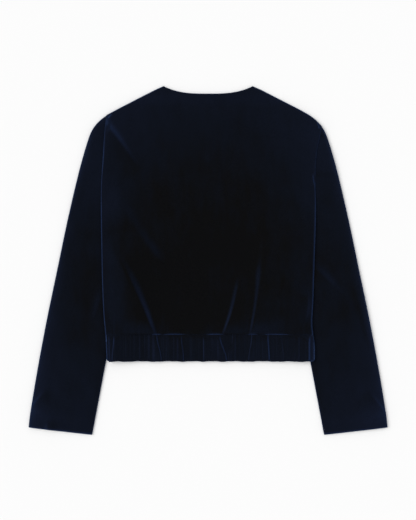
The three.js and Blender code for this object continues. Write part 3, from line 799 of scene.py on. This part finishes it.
def ring_loops(side, path):
    """Outer and inner loop of one ring: two walls that lie flat, with a round fold at each end."""
    reach = np.append(0, np.cumsum(np.linalg.norm(np.diff(path, axis=0), axis=1)))
    length = reach[-1]

    def spot(distance):
        return [np.interp(distance, reach, path[:, k]) for k in (0, 1)]

    def end_radius(distance):
        x, y = spot(distance)
        return float(sleeve_upper(side, x, y) - sleeve_sink(y, distance, length - distance)) / 2

    outer_radius = end_radius(SLEEVE_STACK / 2)
    inner_radius = end_radius(length - SLEEVE_STACK / 2)
    across = np.linspace(outer_radius, length - inner_radius, RING_POINTS["across"])
    angles = np.linspace(90, -90, RING_POINTS["fold"] + 2)[1:-1]
    loops = []
    for wall in (0, SLEEVE_WALL):
        x, y = spot(across)
        fall = sleeve_sink(y, across, length - across)
        top = np.maximum(sleeve_upper(side, x, y) - fall, 2 * SLEEVE_WALL + LEAST_AIR) - wall
        under = sleeve_under(side, x, y) + wall
        parts = [np.column_stack([x, y, top])]
        for radius, far, turn in ((inner_radius, True, angles), (outer_radius, False, angles[::-1])):
            lean, rise = np.cos(np.radians(turn)), np.sin(np.radians(turn))
            inset = radius - (radius - wall) * lean
            fold_x, fold_y = spot(length - inset if far else inset)
            fold = np.column_stack([fold_x, fold_y, radius + (radius - wall) * rise])
            if far:
                parts += [fold, np.column_stack([x, y, under])[::-1]]
            else:
                parts.append(fold)
        loop = np.concatenate(parts)
        loop[:, 0] *= SIGN[side]
        loops.append(loop)
    return loops


def sleeve_mesh(side):
    rings = [ring_loops(side, path) for path in sleeve_paths(side)]
    outside = np.array([ring[0] for ring in rings])
    inside = np.array([ring[1] for ring in rings])
    count, around = outside.shape[:2]
    onward = outside[-1] - outside[-2]
    onward = onward / np.linalg.norm(onward, axis=1, keepdims=True)
    hem = (outside[-1] + inside[-1]) / 2 + onward * HEM_ROUND * SLEEVE_WALL
    vertices = np.concatenate([outside.reshape(-1, 3), inside.reshape(-1, 3), hem])
    inner = count * around
    index = np.arange(inner).reshape(count, around)
    onto = np.roll(index, -1, axis=1)
    faces = [np.stack([index[:-1], onto[:-1], onto[1:], index[1:]], -1).reshape(-1, 4)]
    faces.append(np.stack([index[:-1], index[1:], onto[1:], onto[:-1]], -1).reshape(-1, 4) + inner)
    at_hem = 2 * inner + np.arange(around)
    first, last = index[0], index[-1]
    for here, there in ((last, at_hem), (at_hem, last + inner), (first + inner, first)):
        faces.append(np.column_stack([here, np.roll(here, -1), np.roll(there, -1), there]))
    faces = np.concatenate(faces)
    return vertices, faces[:, ::-1] if side == "left" else faces


class Nodes:
    """Short hand for making and joining shader nodes."""

    def __init__(self, material):
        material.use_nodes = True
        self.tree = material.node_tree
        self.tree.nodes.clear()

    def add(self, kind, **inputs):
        node = self.tree.nodes.new(kind)
        for name, value in inputs.items():
            self.put(node, name.replace("_", " "), value)
        return node

    def put(self, node, name, value):
        if isinstance(value, bpy.types.NodeSocket):
            self.tree.links.new(value, node.inputs[name])
        else:
            node.inputs[name].default_value = value

    def noise(self, where, scale, detail, roughness):
        settings = {"Scale": scale, "Detail": detail, "Roughness": roughness}
        return self.add("ShaderNodeTexNoise", Vector=where, **settings).outputs["Fac"]

    def spread(self, value, low, high, to_low, to_high):
        node = self.add("ShaderNodeMapRange")
        names = ("From Min", "From Max", "To Min", "To Max")
        for name, number in zip(names, (low, high, to_low, to_high)):
            node.inputs[name].default_value = number
        self.put(node, "Value", value)
        return node.outputs["Result"]

    def math(self, operation, a, b):
        node = self.tree.nodes.new("ShaderNodeMath")
        node.operation = operation
        for socket, value in zip(node.inputs, (a, b)):
            if isinstance(value, bpy.types.NodeSocket):
                self.tree.links.new(value, socket)
            else:
                socket.default_value = value
        return node.outputs[0]

    def mean(self, a, b):
        return self.math("ADD", self.math("MULTIPLY", a, 0.5), self.math("MULTIPLY", b, 0.5))

    def vector(self, operation, a, b=None, result="Vector"):
        node = self.tree.nodes.new("ShaderNodeVectorMath")
        node.operation = operation
        self.tree.links.new(a, node.inputs[0])
        if b is not None:
            self.tree.links.new(b, node.inputs["Scale" if operation == "SCALE" else 1])
        return node.outputs[result]

    def ramp(self, value, stops):
        node = self.add("ShaderNodeValToRGB", Fac=value)
        elements = node.color_ramp.elements
        elements[0].position, elements[0].color = stops[0][0], (*stops[0][1], 1)
        elements[1].position, elements[1].color = stops[-1][0], (*stops[-1][1], 1)
        for position, colour in stops[1:-1]:
            element = elements.new(position)
            element.color = (*colour, 1)
        return node.outputs["Color"]


# Velvet: a near-black navy pile, with a blue sheen painted into its colour as painted sheen and shade.
# Its colour follows how far the surface turns away from a fixed point above the middle: 0 where it
# faces that point, 1 where it is edge on.
PILE_AND_PAINTED_SHEEN_COLOURS = [
    (0.0, (0.0037, 0.0036, 0.0034)),
    (0.018, (0.0040, 0.0051, 0.0084)),
    (0.055, (0.0056, 0.0078, 0.0165)),
    (0.25, (0.0112, 0.0215, 0.0570)),
    (0.5, (0.0090, 0.0160, 0.0410)),
    (1.0, (0.0060, 0.0100, 0.0250)),
]
VELVET = {
    "sheen": 0.25,
    "sheen_roughness": 0.4,
    "sheen_tint": (0.25, 0.42, 1.0, 1),
    "roughness": (0.92, 0.72),
    "specular": 0.0,
    "bump_depth": 0.0008,
    # Noise: size, detail and roughness
    "pile": (1100, 2.0, 0.6),
    "nap": (70, 3.0, 0.55),
    "patch": (12, 2.0, 0.5),
    # Range of the noise that is used, for fine grain and for broad tone
    "grain": (0.3, 0.7),
    "tone": (0.35, 0.65),
    "pile_tone": (0.6, 1.4),
    # That point is 1 / 0.71 = 1.41 m up, which is where the photo's camera stands. It is fixed in
    # the jacket's own space, so the painted sheen and shade, as seen from there, stay the same in
    # other views.
    "to_point": (-0.71, -0.71, 0),
    # What is added by random tone, and a painted sheen that grows towards the shoulders and sleeves,
    # by places in metres
    "lean": (-0.008, 0.003),
    "painted_shoulder_sheen": (-0.02, 0.20, 0, 1.0),
    "painted_sleeve_sheen": (0.10, 0.24, 0.003, 0.022),
}
# What differs between the panels and the band: bump, stretch of the nap, and more lean
PANEL_NAP = {"bump": 0.25, "stretch": (1.0, 0.35, 1.0), "lean": 0.0}
BAND_NAP = {"bump": 0.25, "stretch": (1.0, 0.25, 1.0), "lean": 0.012}


def painted_sheen_slant(n, surface, where):
    """How far the surface turns away from the fixed point: 0 facing it, 1 edge on. It sets the painted
    sheen and shade of the colour.
    """
    mapping = n.add("ShaderNodeMapping", Vector=where, Location=(0, 0, 1), Scale=VELVET["to_point"])
    to_point = n.vector("NORMALIZE", mapping.outputs["Vector"])
    facing = n.vector("DOT_PRODUCT", surface.outputs["Normal"], to_point, "Value")
    return n.math("SUBTRACT", 1, n.math("ABSOLUTE", facing, 0))


def tone_and_painted_sheen(n, where, tone, more):
    """What is added to that: uneven random tone, and a painted sheen that grows towards the shoulders
    and sleeves.
    """
    place = n.add("ShaderNodeSeparateXYZ", Vector=where)
    # Painted sheen: the colour is lighter towards the top and the sides, where the shoulders and
    # sleeves are
    upward = n.spread(place.outputs["Y"], *VELVET["painted_shoulder_sheen"])
    outward = n.spread(n.math("ABSOLUTE", place.outputs["X"], 0), *VELVET["painted_sleeve_sheen"])
    lean = n.spread(tone, *VELVET["tone"], *VELVET["lean"])
    lean = n.math("ADD", lean, n.math("MULTIPLY", upward, outward))
    return n.math("ADD", lean, more)


def velvet_material(name, kind):
    material = bpy.data.materials.new(name)
    n = Nodes(material)
    surface = n.add("ShaderNodeTexCoord")
    where = surface.outputs["Object"]
    stretched = n.add("ShaderNodeMapping", Vector=where, Scale=kind["stretch"])
    pile = n.noise(where, *VELVET["pile"])
    nap = n.noise(stretched.outputs["Vector"], *VELVET["nap"])
    patch = n.noise(where, *VELVET["patch"])
    bump = {"Strength": kind["bump"], "Distance": VELVET["bump_depth"]}
    bumped = n.add("ShaderNodeBump", Height=n.mean(pile, nap), **bump).outputs["Normal"]
    # Random tone, and the painted sheen of the shoulders and sleeves
    lean = tone_and_painted_sheen(n, where, n.mean(patch, nap), kind["lean"])
    # Painted sheen and shade: the base colour is read from the ramp by the slant from the fixed point,
    # plus random tone and painted sheen
    colour = n.ramp(n.math("ADD", painted_sheen_slant(n, surface, where), lean), PILE_AND_PAINTED_SHEEN_COLOURS)
    grain = n.spread(pile, *VELVET["grain"], *VELVET["pile_tone"])
    shader = n.add("ShaderNodeBsdfPrincipled")
    n.put(shader, "Base Color", n.vector("SCALE", colour, grain))
    n.put(shader, "Roughness", n.spread(nap, *VELVET["grain"], *VELVET["roughness"]))
    n.put(shader, "Normal", bumped)
    n.put(shader, "Specular IOR Level", VELVET["specular"])
    n.put(shader, "Sheen Weight", VELVET["sheen"])
    n.put(shader, "Sheen Roughness", VELVET["sheen_roughness"])
    n.put(shader, "Sheen Tint", VELVET["sheen_tint"])
    output = n.add("ShaderNodeOutputMaterial")
    n.tree.links.new(shader.outputs["BSDF"], output.inputs["Surface"])
    return material


FLOOR = {"size": 12, "top": -0.0004, "colour": (0.9, 0.9, 0.9, 1), "roughness": 0.9}


def floor_material():
    material = bpy.data.materials.new("pale_floor")
    n = Nodes(material)
    shader = n.add("ShaderNodeBsdfPrincipled", Roughness=FLOOR["roughness"])
    n.put(shader, "Base Color", FLOOR["colour"])
    n.put(shader, "Specular IOR Level", 0.0)
    output = n.add("ShaderNodeOutputMaterial")
    n.tree.links.new(shader.outputs["BSDF"], output.inputs["Surface"])
    return material


# Surroundings
IMAGE = {"height": 520, "metres_a_pixel": 0.00195}
CAMERA = {"lens": 50, "sensor": 36, "x": -0.0002, "y": 0.0006, "plane": 0.003}
WORLD_LIGHT = 0.76
KEY = {"from": (-1.0, 0.3, 0.85), "spread": 0.7, "strength": 1.62}


def make_camera():
    data = bpy.data.cameras.new("camera")
    data.lens = CAMERA["lens"]
    data.sensor_width = CAMERA["sensor"]
    camera = bpy.data.objects.new("camera", data)
    span = IMAGE["height"] * IMAGE["metres_a_pixel"]
    distance = CAMERA["lens"] / CAMERA["sensor"] * span
    camera.location = (CAMERA["x"], CAMERA["y"], CAMERA["plane"] + distance)
    bpy.context.scene.collection.objects.link(camera)
    bpy.context.scene.camera = camera


def make_stage():
    bpy.ops.mesh.primitive_plane_add(size=FLOOR["size"], location=(0, 0, FLOOR["top"]))
    floor = bpy.context.object
    floor.name = "floor"
    floor.data.materials.append(floor_material())
    scene = bpy.context.scene
    scene.view_settings.view_transform = "Standard"
    world = bpy.data.worlds.new("world")
    world.use_nodes = True
    background = world.node_tree.nodes["Background"]
    background.inputs["Color"].default_value = (1, 1, 1, 1)
    background.inputs["Strength"].default_value = WORLD_LIGHT
    scene.world = world
    data = bpy.data.lights.new("key", "SUN")
    data.angle = KEY["spread"]
    data.energy = KEY["strength"]
    key = bpy.data.objects.new("key", data)
    key.location = KEY["from"]
    key.rotation_euler = (-Vector(KEY["from"])).to_track_quat("-Z", "Y").to_euler()
    scene.collection.objects.link(key)


make_camera()
make_stage()
velvet = velvet_material("velvet", PANEL_NAP)
band_velvet = velvet_material("band_velvet", BAND_NAP)

# Pieces: name, node, mesh, size of the flat cut and its area where it isn't a rectangle, in metres
SHEETS = [
    ("back_panel", "back", back_panel_mesh(), (0.44, 0.49), 0.194, "laid"),
    ("band_back_cloth", "band_back", band_back_mesh(), (0.48, 0.054), None, "gathered"),
]
for side in ("left", "right"):
    band = f"band_front_{side}"
    SHEETS += [
        (f"front_{side}_panel", f"front_{side}", front_mesh(side), (0.22, 0.485), 0.090, "laid"),
        (f"{band}_cloth", band, band_front_mesh(side), (0.235, 0.054), None, "gathered"),
        (f"sleeve_{side}_cloth", f"sleeve_{side}", sleeve_mesh(side), (0.36, 0.61), 0.145, "laid"),
    ]
for name, node, (vertices, faces), flat, area, held in SHEETS:
    in_band = node.startswith("band")
    material = band_velvet if in_band else velvet
    piece = new_piece(name, vertices, faces, node, material)
